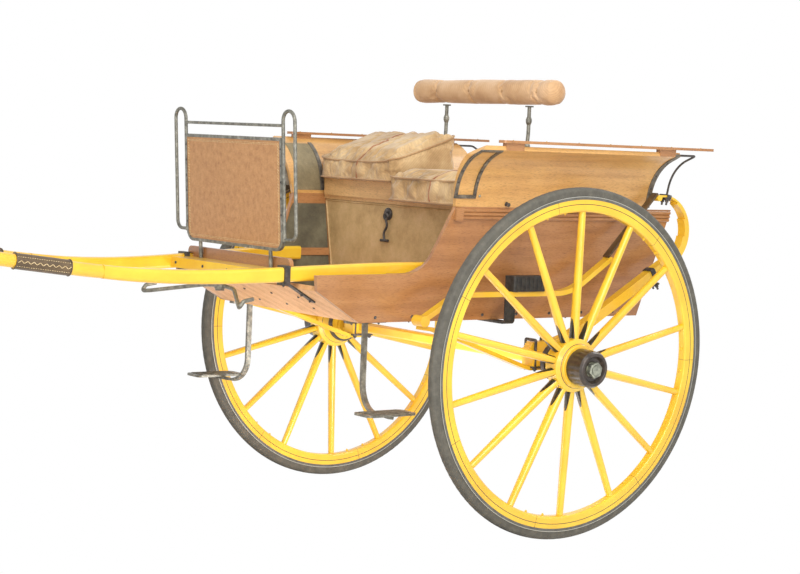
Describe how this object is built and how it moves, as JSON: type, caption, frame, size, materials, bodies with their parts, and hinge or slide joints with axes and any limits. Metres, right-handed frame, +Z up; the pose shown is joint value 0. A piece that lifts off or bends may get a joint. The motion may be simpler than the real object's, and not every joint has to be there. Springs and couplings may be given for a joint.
{
  "type": "two-wheeled horse-drawn dog cart",
  "caption": "Low-sided country cart for one horse, with seat cushions and padded back rest, C-springs, drop tailboard, bent shafts and tall spoked wheels that turn.",
  "frame": {"origin": "middle of the bounding box on the ground, with the cart parked on its wheels and shaft tips", "axes": "+X forwards towards the shaft tips, +Y to the cart's left, +Z up"},
  "size_m": [3.3854, 1.9476, 1.8136],
  "materials": {
    "tyre": "matte grey solid rubber",
    "yellow_paint_wood": "gloss yellow coach paint on wood",
    "yellow_paint_iron": "gloss yellow coach paint on iron",
    "black_paint": "gloss black-brown paint",
    "dark_iron": "forged iron, worn dark",
    "varnished_wood": "varnished orange-brown wood",
    "pale_wood": "thinly varnished pale wood",
    "trim_cloth": "board covered with tan leather cloth",
    "cushion_cloth": "tan wool cloth, stuffed",
    "brown_leather": "brown harness leather"
  },
  "bodies": {
    "cart": {"axle": "yellow_paint_iron", "c_springs": "yellow_paint_iron", "radius_arms": "yellow_paint_iron", "body_loops": "yellow_paint_iron", "braces": "brown_leather", "loop_brackets": "dark_iron", "floor": "pale_wood", "toe_board": "pale_wood", "side_panel_left": "varnished_wood", "side_panel_right": "varnished_wood", "wing_left": "varnished_wood", "wing_right": "varnished_wood", "mouldings": "varnished_wood", "top_rails": "varnished_wood", "wing_irons": "dark_iron", "rear_hoops": "dark_iron", "seat_front": "trim_cloth", "seat_deck": "varnished_wood", "seat_handle": "dark_iron", "cushion_driver": "cushion_cloth", "cushion_passenger": "cushion_cloth", "cushion_rear": "cushion_cloth", "backrest_roll": "cushion_cloth", "backrest_irons": "dark_iron", "tail_hinges": "dark_iron", "shaft_left": "yellow_paint_wood", "shaft_right": "yellow_paint_wood", "shaft_leathers": "brown_leather", "shaft_tips": "dark_iron", "shaft_irons": "dark_iron", "cross_bar": "yellow_paint_wood", "front_board": "varnished_wood", "dash_panel": "brown_leather", "dash_frame": "dark_iron", "swingletree_pin": "dark_iron", "step_left": "dark_iron", "step_right": "dark_iron"},
    "wheel_left": {"tyre_left": "tyre", "rim_left": "yellow_paint_wood", "spokes_left": "yellow_paint_wood", "hub_cap_left": "black_paint", "nave_band_left": "black_paint"},
    "wheel_right": {"tyre_right": "tyre", "rim_right": "yellow_paint_wood", "spokes_right": "yellow_paint_wood", "hub_cap_right": "black_paint", "nave_band_right": "black_paint"},
    "tailboard": {"tailboard": "varnished_wood"},
    "swingletree": {"swingletree": "dark_iron"}
  },
  "joints": [
    {"name": "wheel_left_spin", "type": "hinge", "parent": "cart", "child": "wheel_left", "pos_m": [-0.99274, 0.823, 0.69945], "axis": [-0.0157, 0.9992, -0.0369], "continuous": true},
    {"name": "wheel_right_spin", "type": "hinge", "parent": "cart", "child": "wheel_right", "pos_m": [-0.99274, -0.823, 0.69945], "axis": [0.0157, 0.9992, 0.0369], "continuous": true},
    {"name": "tailboard_hinge", "type": "hinge", "parent": "cart", "child": "tailboard", "pos_m": [-1.52317, 0, 1.09255], "axis": [0, -1, 0], "range_deg": [0, 85]},
    {"name": "swingletree_pivot", "type": "hinge", "parent": "cart", "child": "swingletree", "pos_m": [0.13991, 0, 0.49567], "axis": [0.3916, 0, 0.9201], "range_deg": [-25, 25]}
  ]
}
